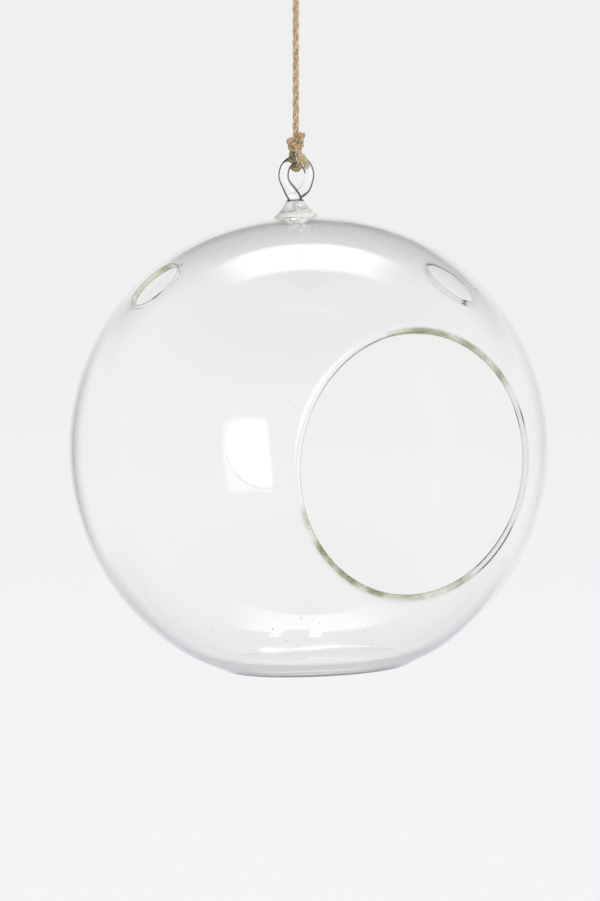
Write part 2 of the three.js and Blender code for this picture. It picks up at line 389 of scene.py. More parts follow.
class Fibres:
    """A mesh of closed strands, with each point's place in its own straightened strand."""

    def __init__(self):
        self.points, self.spots, self.pale, self.faces, self.count = [], [], [], [], 0

    def strand(self, path, radii, sides, start=0.0, lobes=0.0, pale=0.0):
        """A closed tube along a path, in millimetres; lobes is how deep its ridges are."""
        along = lengths_along(path)
        turn = np.arange(sides) * 2 * pi / sides
        ridge = 1 + lobes * np.cos(5 * turn[None, :] + along[:, None] * 2.1 + start)
        reach = np.asarray(radii)[:, None] * ridge
        self.points.append(points_round(path, reach))
        depth = along[:, None] + start + 0 * reach
        spots = [reach * np.cos(turn) + start, reach * np.sin(turn), depth]
        self.spots.append(np.stack(spots, -1).reshape(-1, 3))
        self.pale.append(np.full(reach.size, pale))
        self.faces += tube_faces(len(path), sides, self.count)
        self.count += len(path) * sides

    def rope(self, line, phase=0.0, open_end=0.0, bulk=1.0):
        """Three plies round a line; at the far end they come apart over open_end millimetres."""
        _, first, second = frames(line)
        along = lengths_along(line)
        left = along[-1] - along
        spread = np.clip(1 - left / max(open_end, 0.01), 0, 1) ** 2 if open_end else 0 * left
        for ply in range(3):
            turn = phase + 2 * pi * (along / TWINE_LAY + ply / 3)
            offset = bulk * PLY_OFFSET * (1 + 0.5 * spread)
            path = line + rim(turn, first, second) * offset[:, None]
            start = float(chance.uniform(0, 40))
            swell = 1 + 0.05 * np.sin(along * 0.9 + start) + 0.03 * np.sin(along * 2.3 + 2 * start)
            radii = bulk * PLY_RADIUS * swell * (1 - 0.25 * spread)
            radii = rounded(radii, np.minimum(along, left), 0.4, 0.04)
            self.strand(path, radii, PLY_SIDES, start, 0.07)
        return self

    def fuzz(self, line, count, length, radius=0.021):
        """Loose ends of fibre that stand out of a twine."""
        tangents, first, second = frames(line)
        for _ in range(count):
            i = int(chance.integers(1, len(line) - 1))
            angle = chance.uniform(0, 2 * pi)
            out = math.cos(angle) * first[i] + math.sin(angle) * second[i]
            beside = np.cross(tangents[i], out)
            way = unit(0.55 * out + chance.choice([-1, 1]) * tangents[i] * chance.uniform(0.3, 1.4))
            bend = beside * chance.normal() * 0.6 - out * chance.uniform(0.0, 0.5)
            t = np.linspace(0, 1, 6)[:, None] * length * chance.uniform(0.35, 1.0)
            path = line[i] + 0.86 * TWINE_RADIUS * out + way * t + bend * t**2 / length
            self.strand(path, radius * np.linspace(1.1, 0.5, 6), 3, chance.uniform(0, 40), 0, 0.6)
        return self

    def finished(self, name, body, material, *nodes):
        """The strands as one piece that rides on a body and stands for CAD nodes."""
        mesh = new_mesh(name, np.concatenate(self.points) / 1000, self.faces)
        mesh.shade_smooth()
        spots = mesh.attributes.new("fibre", "FLOAT_VECTOR", "POINT")
        spots.data.foreach_set("vector", np.concatenate(self.spots).ravel())
        add_mark(mesh, "pale", np.concatenate(self.pale))
        made = linked(name, mesh)
        made.visible_glossy = False
        mesh.materials.append(material)
        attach(made, body)
        if nodes:
            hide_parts(*nodes)
        return made


def jute_material(name, shade, spread):
    """Pale brown bast fibre: fine streaks along each ply, darker between, with stray green."""
    material, tree, surface = new_material(name)
    place = tree.add("Attribute", "Vector", attribute_name="fibre")
    drawn = tree.add("Mapping", "Vector", {"Vector": place, "Scale": (1, 1, 0.16)})
    streaks = tree.noise(drawn, 6.5, 5, 0.62)
    streaked = tree.ramp(streaks, [
        (0.49 - spread, (0.11, 0.055, 0.024)),
        (0.47 + 0.1 * (0.15 - spread), (0.80, 0.575, 0.345)),
        (0.49 + spread, (1.0, 0.89, 0.68)),
    ])
    green, fresh = (tuple(np.multiply(shade, c)) for c in ((0.82, 0.86, 0.78), (1, 0.93, 0.85)))
    tones = tree.ramp(tree.noise(place, 0.55, 2), [(0.3, green), (0.7, fresh)])
    tinted = tree.mix(1.0, streaked, tones, "MULTIPLY")
    tree.put(surface, {
        "Base Color": tree.mix(tree.mark("pale"), tinted, (1.0, 0.90, 0.66, 1)),
        "Roughness": tree.span(streaks, 0, 1, 0.78, 0.95),
        "Specular IOR Level": 0.25,
        "Sheen Weight": 0.25,
        "Sheen Roughness": 0.5,
        "Normal": tree.bump(streaks, 0.7, 0.00009),
    })
    return material


def ring_knot_lines():
    """The twine in the knot at the ring: down the middle, round twice, and out as a short tail."""
    core = [(0, 0, 3.1), (0, 0, 1.8), (-0.3, -0.5, 0.5), (-0.8, -1, -1), (-1.1, -1.6, -2.3)]
    turns = [
        (1.2, 1.9, -2.3), (0.6, 1.9, -1), (-0.7, 1.5, 0.3), (-1.75, 0.7, 1.1), (-1.5, -0.7, 1.6),
        (0, -1.6, 1.1), (1.3, -0.8, 0.3), (1.35, 0.7, -0.3), (0.2, 1.5, -0.9), (-1.2, 0.9, -0.9),
        (-1.3, -0.8, -0.5), (0, -1.5, -0.3), (1.2, -0.9, 0.7), (1.35, 0.3, 1.9), (1.75, 0.6, 3.2),
        (1.85, 0.6, 4.2),
    ]
    return [
        smooth_line([facing_camera(*p) for p in line], TWINE_STEP) + [0, 0, RING_KNOT]
        for line in (core, turns)
    ]


def top_knot_lines():
    """The twine in the upper knot: one leg of the loop goes on down, the other ends in a tail."""
    core = [(1.25, 0, 3.1), (1, 0, 1.8), (0.3, 0.3, 0.4), (0, 0, -1.6), (0, 0, -3.1)]
    turns = [
        (-1.25, 0, 3.1), (-1.2, 0.2, 1.9), (-0.5, 1.4, 0.9), (1.2, 1.1, 0.6), (1.6, -0.5, 0.6),
        (0.1, -1.6, 0.4), (-1.4, -0.9, -0.1), (-1.3, 0.9, -0.6), (0.2, 1.6, -0.8), (1.5, 0.6, -0.7),
        (1.1, -1, -0.6), (-0.4, -1.3, -0.2), (-0.6, -0.3, 0.2), (1.2, 0.1, 0.1), (2.9, 0, -0.1),
        (4.9, 0, -0.6), (7, 0, -1.2),
    ]
    return [smooth_line(line, TWINE_STEP) + [0, 0, TOP_KNOT] for line in (core, turns)]


def hanging_loop_line():
    leg, half, crown = 1.25, 4.95, -4.0
    arc = np.radians(np.arange(180, -1, -30))
    over = [(half * math.cos(a), 0, crown + half * math.sin(a)) for a in arc]
    foot = TOP_KNOT + KNOT_REACH
    left = [(-leg, 0, foot - 0.2), (-leg, 0, foot + 1.0), (-3.55, 0, (foot + crown) / 2)]
    return smooth_line([*left, *over, *[(-x, y, z) for x, y, z in reversed(left)]], TWINE_STEP)


def bight_line():
    """From the knot down in front of the rod, under it, and up behind."""
    hug = ROD_RADIUS + 0.1 + TWINE_RADIUS
    under = np.radians(np.arange(-84, 85, 14))
    round_rod = [(0, hug * math.sin(a), HINGE_HEIGHT - hug * math.cos(a)) for a in under]
    front = [(0, -1.3, -71.6), (0, -1.9, -72.9), (0, -2.5, -74.1)]
    back = [(x, -y, z) for x, y, z in reversed(front)]
    return smooth_line([*front, *round_rod, *back], TWINE_STEP)


def frayed_end(strands):
    """A cut end beside the knot whose fibres have come apart into a pale brush."""
    root = np.array([0.75, 2.35, -1.6])
    for _ in range(FRAYED_FIBRES):
        start = root + chance.normal(size=3) * [0.22, 0.18, 0.3]
        across = chance.normal() * 0.5
        reach = np.clip(chance.normal(), -1.6, 1.2)
        right = 3.3 + across * 0.9 + 0.1 * reach
        end = np.array([right, 2.7 + chance.normal() * 0.3, -6.3 + across * 0.75])
        end = start + (end - start) * (1 + 0.14 * reach)
        middle = (start + end) / 2 + 0.35 * (1 + 0.4 * chance.normal())
        line = smooth_line([facing_camera(*p) for p in (start, middle, end)], 0.5)
        line = line + [0, 0, RING_KNOT]
        radii = 0.055 * np.linspace(1.2, 0.6, len(line))
        strands.strand(line, radii, 4, chance.uniform(0, 40), 0, chance.uniform(0.4, 1.0))


def make_twine():
    jute = jute_material("jute", (0.93, 0.92, 0.93), 0.15)
    knotted = jute_material("knotted_jute", (0.86, 0.82, 0.75), 0.09)
    loop = hanging_loop_line()
    upper, top_turns = top_knot_lines()
    lower, ring_turns = ring_knot_lines()
    heights = np.linspace(LINE_BOTTOM, LINE_TOP, LINE_POINTS)
    straight = np.stack([np.zeros(LINE_POINTS), np.zeros(LINE_POINTS), heights], -1)
    line = Fibres().rope(straight).finished("line_twine", "line", jute, "twine_line")
    line_fuzz = Fibres().fuzz(straight, 210, 2.4).finished("line_fuzz", "line", jute)
    top = Fibres().rope(upper).rope(top_turns, 1.0, 2.2).fuzz(top_turns, 60, 1.8)
    top = top.finished("top_knot_twine", "upper_knot", knotted, "top_knot", "top_knot_tail")
    hung = Fibres().rope(loop).fuzz(loop, 120, 1.9)
    hung = hung.finished("hanging_loop_twine", "upper_loop", jute, "hanging_loop")
    knot = Fibres().rope(lower, 0.6).rope(ring_turns, 1.7, 1.2, 1.12).fuzz(ring_turns, 70, 1.6)
    frayed_end(knot)
    knot.finished("ring_knot_twine", "lower_knot", knotted, "ring_knot", "ring_knot_tail")
    bight = Fibres().rope(bight_line(), 0.4, 0.0, 1.08)
    bight.finished("ring_bight_twine", "bight", knotted, "ring_bight")


# Waves that a blown wall keeps: a few shallow ones in each direction
WAVES = unit(chance.normal(size=(14, 3))) / chance.uniform(4.0, 11.0, (14, 1))
WAVE_STARTS = chance.uniform(0, 2 * pi, 14)


def waviness(points):
    return np.cos(points @ WAVES.T + WAVE_STARTS).mean(-1)


def face_reach(directions, radius, floor, heel):
    """How far one face of the wall is from the centre: a globe with a low crown and a flat base."""
    heel_centre = np.array([BASE_FLAT, heel - floor])
    heel_rise = math.atan2(heel_centre[1], BASE_FLAT)
    heel_dip = radius - np.linalg.norm(heel_centre) - heel
    height = np.clip(directions[:, 2], -1, 1)
    rise = np.arcsin(height)
    polar = pi / 2 - rise
    reach = radius - CROWN_DROP * np.exp(-((polar / CROWN_SPREAD) ** 2))
    reach -= heel_dip * np.exp(-(((rise - heel_rise) / HEEL_SPREAD) ** 2))
    ahead = np.cos(rise) * heel_centre[0] + height * heel_centre[1]
    beside = np.maximum(ahead**2 - heel_centre @ heel_centre + heel**2, 0)
    reach = np.where(rise < heel_rise, ahead + np.sqrt(beside), reach)
    flat = floor / np.maximum(-height, 0.1)
    return np.where(rise < math.atan2(-floor, BASE_FLAT), flat, reach)


def outer_reach(directions):
    plain = face_reach(directions, GLOBE_RADIUS, FLOOR_DROP, HEEL)
    return plain + 0.09 * waviness(75 * directions) - 0.02


def inner_reach(directions):
    plain = face_reach(directions, GLOBE_RADIUS - WALL, INNER_FLOOR_DROP, INNER_HEEL)
    return plain + directions @ CAVITY_SHIFT + 0.13 * waviness(60 * directions + 31)


def on_face(directions, reach):
    """Points of a face whose distance from the centre is a function of direction."""
    return directions * reach(directions)[:, None]


def face_normals(directions, reach):
    """Exact normals of the wall's outer or inner face."""
    first, second = square_to(directions)
    step = 2e-3

    def at(move):
        return on_face(unit(directions + step * move), reach)

    along, across = at(first) - at(-first), at(second) - at(-second)
    return unit(np.cross(along, across)) * (1 if reach is outer_reach else -1)


def circle(axis, angle, count, start=0.0):
    """Directions on a circle round an axis, anticlockwise as seen from outside."""
    turn = (start + np.arange(count)) * 2 * pi / count
    return math.cos(angle) * axis + math.sin(angle) * rim(turn, *square_to(axis))


def edge_angle(radius):
    """How far an opening's rim is from its axis, as seen from the globe's centre."""
    return math.asin(radius / MIDDLE)


def vent_axis(polar, turn):
    across = math.sin(polar)
    return np.array([across * math.cos(turn), across * math.sin(turn), math.cos(polar)])


MOUTH_AXIS = np.array([0.0, -math.cos(MOUTH_PITCH), math.sin(MOUTH_PITCH)])
OPENINGS = [(MOUTH_AXIS, MOUTH_RADIUS, MOUTH_LIP, MOUTH_SEGMENTS)]
OPENINGS += [(vent_axis(polar, turn), r, VENT_LIP, VENT_SEGMENTS) for polar, turn, r in VENTS]
DOWN = np.array([0.0, 0.0, -1.0])
CROWN_AXIS = np.array([-math.sin(FOOT_LEAN), 0.0, math.cos(FOOT_LEAN)])
WELD_ANGLE = math.asin(WELD_RADIUS / CROWN)
WELD = circle(CROWN_AXIS, WELD_ANGLE, WELD_SEGMENTS)
WELD_POINTS = on_face(WELD, outer_reach)
PLUG_BOTTOM = CROWN_AXIS * (CROWN - 5)


def along_rims(directions, all_stretches):
    """1 on the given stretches of the openings' rims, fading beside them and at their ends."""
    found = np.zeros(len(directions))
    for (axis, radius, _, _), stretches in zip(OPENINGS, all_stretches):
        away = (angle_from(axis, directions) - edge_angle(radius)) * MIDDLE
        close = np.exp(-((np.maximum(away, 0) / NEAR_RIM) ** 2))
        side, above = square_to(axis)
        turn = np.degrees(np.arctan2(directions @ above, directions @ side))
        for middle, half in stretches:
            off = np.abs((turn - middle + 180) % 360 - 180)
            found = np.maximum(found, close * np.clip((half + 4 - off) / 8, 0, 1))
    return found


class Shell:
    """Points, normals and faces of the one closed glass skin."""

    def __init__(self):
        self.points, self.normals, self.faces, self.count = [], [], [], 0
        # Marks: the lip, painted dark outline shade, and a painted highlight
        self.marks = {"lip": [], "solid": [], "glint": []}

    def add(self, points, normals, **marks):
        """Adds points and gives their numbers; the marks say how much they are of each kind."""
        self.points.append(points)
        self.normals.append(normals)
        for kind, values in self.marks.items():
            values.append(np.broadcast_to(marks.get(kind, 0), len(points)).astype(float))
        first = self.count
        self.count += len(points)
        return np.arange(first, self.count)

    def face(self, directions, reach, **marks):
        """Adds points of the wall's outer or inner face and gives their numbers."""
        return self.add(on_face(directions, reach), face_normals(directions, reach), **marks)

    def hollow(self, points, normals, faces, solid):
        """Adds a hollow in the glass, from a closed skin's points, normals and faces, with how much
        painted outline shade it has.
        """
        numbers = self.add(points, -normals, solid=solid)
        self.faces += [tuple(int(numbers[v]) for v in reversed(f)) for f in faces]

    def mesh(self, name):
        mesh = new_mesh(name, placed(np.concatenate(self.points)), self.faces)
        directions = unit(np.concatenate(self.points))
        marks = {kind: np.concatenate(values) for kind, values in self.marks.items()}
        # Painted dark outline shade on the dark stretches of the rims
        marks["solid"] = np.maximum(marks["solid"], along_rims(directions, PAINTED_DARK_STRETCHES))
        marks["olive"] = along_rims(directions, OLIVE_STRETCHES)
        # Painted shade where the wall is seen on edge at the globe's outline, on its outer face,
        # painted strongest on the left side
        left = 0.75 - 0.25 * np.clip(1.5 * directions @ ACROSS_VIEW, -1, 1)
        outside = np.sum(directions * np.concatenate(self.normals), axis=1) > 0.9
        marks["painted_limb_shade"] = outside * left * np.clip(1 - (directions[:, 2] / 0.75) ** 2, 0, 1)
        for kind, values in marks.items():
            add_mark(mesh, kind, values)
        return mesh


def lip_rings(axis, radius, lip, count):
    """Rings of (outer, inner) points round an opening, from the rim to where the wall is plain."""
    edge = edge_angle(radius)
    reaches = [-lip * math.cos(radians(a)) for a in range(0, 91, 15)] + LIP_STRIP
    # The lip isn't quite even all the way round
    turn = np.arange(count) * 2 * pi / count
    bead = lip * (1 + 0.05 * np.cos(2 * turn + radius) + 0.04 * np.cos(5 * turn + 2 * radius))
    rings = []
    for reach in reaches:
        directions = circle(axis, edge + reach / MIDDLE, count)
        outer, inner = outer_reach(directions), inner_reach(directions)
        middle, half = (outer + inner) / 2, (outer - inner) / 2
        if reach < 0:
            thick = bead * math.sqrt(max(0.0, 1 - (reach / lip) ** 2))
        else:
            thick = half + (bead - half) * math.exp(-((reach / LIP_FADE) ** 2))
        rings.append([directions * (middle + side * thick)[:, None] for side in (1, -1)])
    return rings


def make_opening(shell, opening):
    """Adds a lip and gives the numbers of its outermost outer and inner rings."""
    rings = lip_rings(*opening)
    # One grid runs from the outer face over the rim to the inner face
    grid = np.array([r[0] for r in reversed(rings)] + [r[1] for r in rings[1:]])
    around = np.roll(grid, -1, 1) - np.roll(grid, 1, 1)
    normals = unit(np.cross(around, np.gradient(grid, axis=0)))
    plain = len(LIP_STRIP)
    numbers = []
    for i, (points, facing) in enumerate(zip(grid, normals)):
        depth = max(0, plain - i, i - (len(grid) - 1 - plain))
        numbers.append(shell.add(points, facing, lip=max(0.0, 1 - depth / LIP_DEPTH)))
    shell.faces += tube_faces(*grid.shape[:2], int(numbers[0][0]), ends=False)
    return numbers[0], numbers[-1]


def flat_map(directions):
    """Stereographic map from the mouth's middle, so that the back of the globe is at 0, 0."""
    first, second = square_to(MOUTH_AXIS)
    scale = 1 / (1 - directions @ MOUTH_AXIS)
    return np.stack([directions @ first * scale, directions @ second * scale], -1)


def round_the_base(directions):
    """Degrees from straight down, and how far across the view and away from the camera: -1 to 1."""
    down = np.degrees(angle_from(DOWN, directions))
    wide = np.maximum(np.sin(np.radians(down)), 0.01)
    return down, directions @ ACROSS_VIEW / wide, directions @ ALONG_VIEW / wide


def heel_front_painted_line(directions):
    """1 along the edge of the base on the camera's side, where painted shade shows as one thin dark
    line.
    """
    down, _, away = round_the_base(directions)
    below, above = np.clip((down - 21.0) / 0.5, 0, 1), np.clip((27.0 - down) / 4.0, 0, 1)
    return below * above * np.clip(-2.5 * away, 0, 1)


def heel_back_painted_highlight(directions):
    """1 along the back edge of the floor, where a painted highlight glows as one long stroke in
    place of the lamp's reflection in the bent wall.
    """
    down, across, away = round_the_base(directions)
    middle = 22.9 + 0.5 * np.sin(7 * across)
    band = np.exp(-(((down - middle) / (1.3 - 0.9 * across)) ** 2))
    ends = np.clip((across + 0.66) / 0.1, 0, 1) * np.clip((0.8 - across) / 0.3, 0, 1)
    return band * ends * (0.75 - 0.4 * across + 0.2 * np.cos(9 * across)) * (away > 0)


def wall_points(rims):
    """Evenly strewn directions over the wall, away from the rims' circles."""
    edge = edge_angle(MOUTH_RADIUS) + LIP_STRIP[-1] / MIDDLE
    rows = int((pi - edge) * MIDDLE / MESH_STEP)
    found = []
    for i in range(1, rows + 1):
        angle = edge + (pi - edge) * i / rows
        count = max(1, round(2 * pi * MIDDLE * math.sin(angle) / MESH_STEP))
        found.append(circle(MOUTH_AXIS, angle, count, start=0.5 * (i % 2)))
    found = np.concatenate(found)
    down = np.degrees(angle_from(DOWN, found))
    found = found[(down < HEEL_RINGS[0] - 0.7) | (down > HEEL_RINGS[-1] + 0.7)]
    heel = [circle(DOWN, radians(a), HEEL_SEGMENTS) for a in HEEL_RINGS]
    found = np.concatenate([found, *heel])
    keep = np.ones(len(found), bool)
    for axis, angle, hollow in rims:
        away = angle_from(axis, found) - angle
        keep &= (away if hollow else np.abs(away)) > 0.55 * MESH_STEP / MIDDLE
    return found[keep]


def make_wall(shell, outer_rims, inner_rims, weld):
    """Fills the wall between the openings and the weld with a Delaunay mesh, on both faces."""
    rims = [(o[0], edge_angle(o[1]) + LIP_STRIP[-1] / MIDDLE, True) for o in OPENINGS]
    rims.append((CROWN_AXIS, WELD_ANGLE, False))
    rings = [circle(o[0], r[1], o[3]) for o, r in zip(OPENINGS, rims)]
    rings.append(WELD)
    inside = wall_points(rims)
    directions = np.concatenate([*rings, inside])
    edges, first = [], 0
    for ring in rings:
        edges += [(first + i, first + (i + 1) % len(ring)) for i in range(len(ring))]
        first += len(ring)
    flat = [Vector(p) for p in flat_map(directions)]
    _, _, triangles, source, _, _ = geometry.delaunay_2d_cdt(flat, edges, [], 0, 1e-7, True)
    triangles = np.array([[source[v][0] for v in t] for t in triangles])
    centres = unit(directions[triangles].sum(1))
    fills = np.ones(len(triangles), bool)
    for axis, angle, hollow in rims:
        if hollow:
            fills &= angle_from(axis, centres) > 0.995 * angle
    crown = angle_from(CROWN_AXIS, centres) < WELD_ANGLE
    # The rings' points are there already, apart from the inner face's at the weld
    inner_weld = shell.face(WELD, inner_reach)
    outer = shell.face(inside, outer_reach, solid=heel_front_painted_line(inside))
    outer_numbers = np.concatenate([*outer_rims, weld, outer])
    inner = shell.face(inside, inner_reach, glint=heel_back_painted_highlight(inside))
    inner_numbers = np.concatenate([*inner_rims, inner_weld, inner])
    a, b, c = (directions[triangles[:, k]] for k in range(3))
    outward = np.einsum("ij,ij->i", np.cross(b - a, c - a), centres) > 0
    triangles = np.where(outward[:, None], triangles, triangles[:, ::-1])
    shell.faces += [tuple(t) for t in outer_numbers[triangles[fills & ~crown]]]
    shell.faces += [tuple(t) for t in inner_numbers[triangles[fills][:, ::-1]]]


def tube_mesh(name, line, radii, sides=32):
    """A closed tube along a line, in millimetres, with flat caps that may have no size."""
    points = points_round(line, np.repeat(radii[:, None], sides, 1))
    return new_mesh(name, points, tube_faces(len(line), sides))


def foot_mesh():
    """The foot as a closed plug whose brim is the weld's circle on the crown."""
    # On the crown: radius and how far above it; above it: radius and height
    brim = [(FOOT_RADIUS + out, 0.0) for out in (1.9, 1.1, 0.6)]
    brim += [(FOOT_RADIUS + 0.25, 0.10), (FOOT_RADIUS - 0.05, 0.34)]
    low, top = math.sqrt(CROWN**2 - FOOT_RADIUS**2) + 0.5, CROWN + FOOT_HEIGHT
    cone = []
    for up in (0.1, 0.2, 0.3, 0.4, 0.5, 0.6, 0.7, 0.8, 0.88, 0.94):
        flare = FOOT_TOP_RADIUS + (FOOT_RADIUS - FOOT_TOP_RADIUS) * (1 - up) ** 1.5
        cone.append((flare, low + (top - low) * up))
    cone += [(2.7, top - 0.1), (2.4, top), (1.2, top + 0.03)]
    rings = [WELD_POINTS]
    for radius, lift in brim:
        directions = circle(CROWN_AXIS, math.asin(radius / CROWN), WELD_SEGMENTS)
        rings.append(directions * (outer_reach(directions) + lift)[:, None])
    level = circle(CROWN_AXIS, pi / 2, WELD_SEGMENTS)
    rings += [level * radius + CROWN_AXIS * height for radius, height in cone]
    summit = len(rings) * WELD_SEGMENTS
    points = np.concatenate([*rings, [CROWN_AXIS * (top + 0.04), PLUG_BOTTOM]])
    faces = tube_faces(len(rings), WELD_SEGMENTS, ends=False)
    last = summit - WELD_SEGMENTS
    for j in range(WELD_SEGMENTS):
        k = (j + 1) % WELD_SEGMENTS
        faces.append((last + j, last + k, summit))
        faces.append((k, j, summit + 1))
    return new_mesh("foot", points, faces)


def rod_mesh():
    """The ring's rod: thick on the foot, bent round, its tip tucked behind its own stem."""
    centre = RING_TOP - RING_RADIUS
    stem = [(-0.4, 0, 76.3), (-0.95, 0, 78.4), (-2.1, 0, 80.3), (-3.4, 0, 82.3), (-4.4, 0, 84.1)]
    arc = np.radians(np.arange(180, -1, -30))
    ring = [(RING_RADIUS * math.cos(a), 0, centre + RING_RADIUS * math.sin(a)) for a in arc]
    tip = [(4.25, 0.25, 83.7), (3.75, 1.3, 81.5), (2.7, 2.6, 80.1)]
    tip += [(1.1, 3.5, 79.1), (-0.8, 3.8, 78.3)]
    line = smooth_line([*stem, *ring, *tip], 0.3)
    along = lengths_along(line)
    swell = 1 / (1 + np.exp((along - 6.6) / 0.7))
    radii = ROD_RADIUS + (ROOT_RADIUS - ROD_RADIUS) * swell + 0.05 * np.sin(along * 0.7)
    left = np.linalg.norm(line - line[-1], axis=1)
    return tube_mesh("rod", line, rounded(radii, left, 1.5, 0.0004))


def joined(one, other):
    """Two closed meshes as one skin."""
    objects = [linked(mesh.name, mesh) for mesh in (one, other)]
    union = objects[0].modifiers.new("union", "BOOLEAN")
    union.operation, union.solver, union.object = "UNION", "EXACT", objects[1]
    evaluated = objects[0].evaluated_get(bpy.context.evaluated_depsgraph_get())
    mesh = bpy.data.meshes.new_from_object(evaluated)
    for made in objects:
        bpy.data.objects.remove(made)
    return mesh


def soften_seam(mesh):
    """Fills the sharp corner between foot and rod, as molten glass does."""
    bm = bmesh.new()
    bm.from_mesh(mesh)
    bmesh.ops.triangulate(bm, faces=bm.faces)
    bmesh.ops.remove_doubles(bm, verts=bm.verts, dist=0.03)
    sharp = [e for e in bm.edges if e.is_manifold and e.calc_face_angle(0) > radians(28)]
    seam = np.array([(e.verts[0].co + e.verts[1].co) / 2 for e in sharp])
    near = []
    for v in bm.verts:
        p = np.array(v.co)
        if SEAM_LOW < p[2] < SEAM_HIGH and np.linalg.norm(seam - p, axis=1).min() < SEAM_WIDTH:
            near.append(v)
    axes = {"use_axis_" + axis: True for axis in "xyz"}
    for _ in range(SEAM_ROUNDS):
        bmesh.ops.smooth_vert(bm, verts=near, factor=0.5, **axes)
    bmesh.ops.recalc_face_normals(bm, faces=bm.faces)
    bm.to_mesh(mesh)
    bm.free()
    return mesh


def points_and_normals(mesh):
    normals = np.array([v.vector for v in mesh.vertex_normals])
    return np.array([v.co for v in mesh.vertices]), normals


def add_hanger(shell, weld):
    """Adds the foot and ring to the shell, sewn to the weld's circle."""
    mesh = soften_seam(joined(foot_mesh(), rod_mesh()))
    points, normals = points_and_normals(mesh)
    bottom = int(np.linalg.norm(points - PLUG_BOTTOM, axis=1).argmin())
    numbers = np.full(len(points), -1)
    for number, p in zip(weld, WELD_POINTS):
        numbers[np.linalg.norm(points - p, axis=1).argmin()] = number
    fresh = [i for i in range(len(points)) if numbers[i] < 0 and i != bottom]
    clear_of_weld = np.clip((WELD_RADIUS - np.hypot(points[:, 0], points[:, 1])) / 2, 0, 1)
    rod = points[:, 2] > CROWN + FOOT_HEIGHT - 0.5
    # The painted outline shade is fainter on the tip's inner side, and on the foot it is painted
    # darkest on the left
    inward = unit(np.array([0, 0, RING_TOP - RING_RADIUS]) - points * [1, 0, 1])
    tip = (points[:, 1] > 0.9) | (points[:, 0] > 1.5)
    inner_side = np.clip((normals * inward).sum(-1) * 2, 0, 1) * tip * (points[:, 2] < 86)
    foot = np.clip(0.1 - 0.5 * (points @ ACROSS_VIEW / FOOT_RADIUS + 0.1), 0, 0.6)
    solid = clear_of_weld * np.where(rod, 1 - 0.8 * inner_side, foot)
    numbers[fresh] = shell.add(points[fresh], normals[fresh], solid=solid[fresh])
    for polygon in mesh.polygons:
        if bottom not in polygon.vertices:
            shell.faces.append(tuple(int(numbers[v]) for v in polygon.vertices))


def add_seeds(shell):
    """Small air bubbles in the wall, most of them low down where the glass is thick."""
    ball = bmesh.new()
    bmesh.ops.create_icosphere(ball, subdivisions=2, radius=1)
    corners = np.array([v.co for v in ball.verts])
    faces = [[v.index for v in f.verts] for f in ball.faces]
    ball.free()
    spots = []
    while len(spots) < WALL_SEEDS:
        direction = unit(chance.normal(size=3))
        low = direction[2] < -0.62
        clear = all(angle_from(o[0], direction) > edge_angle(o[1]) + 0.06 for o in OPENINGS)
        if clear and (low or chance.random() < 0.12):
            spots.append(direction)
    seeds = []
    for direction in spots:
        one = direction[None]
        inner, outer = inner_reach(one)[0], outer_reach(one)[0]
        depth = inner + (outer - inner) * chance.uniform(0.4, 0.6)
        sizes = chance.uniform(0.12, 0.27) * (1 + 0.5 * chance.random(3))
        seeds.append((direction * depth, sizes))
    # The foot was gathered and pressed, and keeps larger ones, drawn out sideways
    for _ in range(FOOT_SEEDS):
        turn, away = chance.uniform(0, 2 * pi), math.sqrt(chance.uniform(0.02, 1)) * 5.2
        up = chance.uniform(0.4, 3.4) * (1 - away / 9)
        centre = np.array([away * math.cos(turn), away * math.sin(turn), CROWN + up])
        seeds.append((centre, chance.uniform(0.2, 0.75) * np.array([1.0, 0.8, 0.35])))
    for centre, sizes in seeds:
        # The foot's bubbles get painted dark outlines
        solid = 0.8 if centre[2] > CROWN else 0.0
        shell.hollow(centre + corners * sizes, unit(corners / sizes), faces, solid)


def add_swirls(shell):
    """Curls of air that the foot took in when it was gathered and pressed."""
    share = np.linspace(0, 1, 64)
    for right, near, up, wide, turns, thick in FOOT_SWIRLS:
        reach = wide * (1 - 0.62 * share)
        turn = 2 * pi * turns * share + 3 * right
        across, rise = right + reach * np.cos(turn), up + 0.7 * reach * np.sin(turn)
        line = CROWN_AXIS * CROWN + np.stack(facing_camera(across, near + 0.5 * share, rise), -1)
        radii = thick * np.sqrt(1 - 0.998 * (2 * share - 1) ** 8)
        tube = tube_mesh("swirl", line, radii, 12)
        # The swirls get full painted dark outlines
        shell.hollow(*points_and_normals(tube), [f.vertices for f in tube.polygons], 1.0)
        bpy.data.meshes.remove(tube)


def make_glass():
    shell = Shell()
    rims = [make_opening(shell, o) for o in OPENINGS]
    weld = shell.face(WELD, outer_reach)
    make_wall(shell, *zip(*rims), weld)
    add_hanger(shell, weld)
    add_seeds(shell)
    add_swirls(shell)
    mesh = shell.mesh("glass_globe")
    mesh.validate()
    mesh.shade_smooth()
    normals = turned(np.concatenate(shell.normals))
    mesh.normals_split_custom_set_from_vertices(unit(normals).tolist())
    mesh.materials.append(glass_material())
    made = linked("glass_globe", mesh)
    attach(made, "globe")
    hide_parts("globe_shell", "hanger_foot", "hanger_ring")


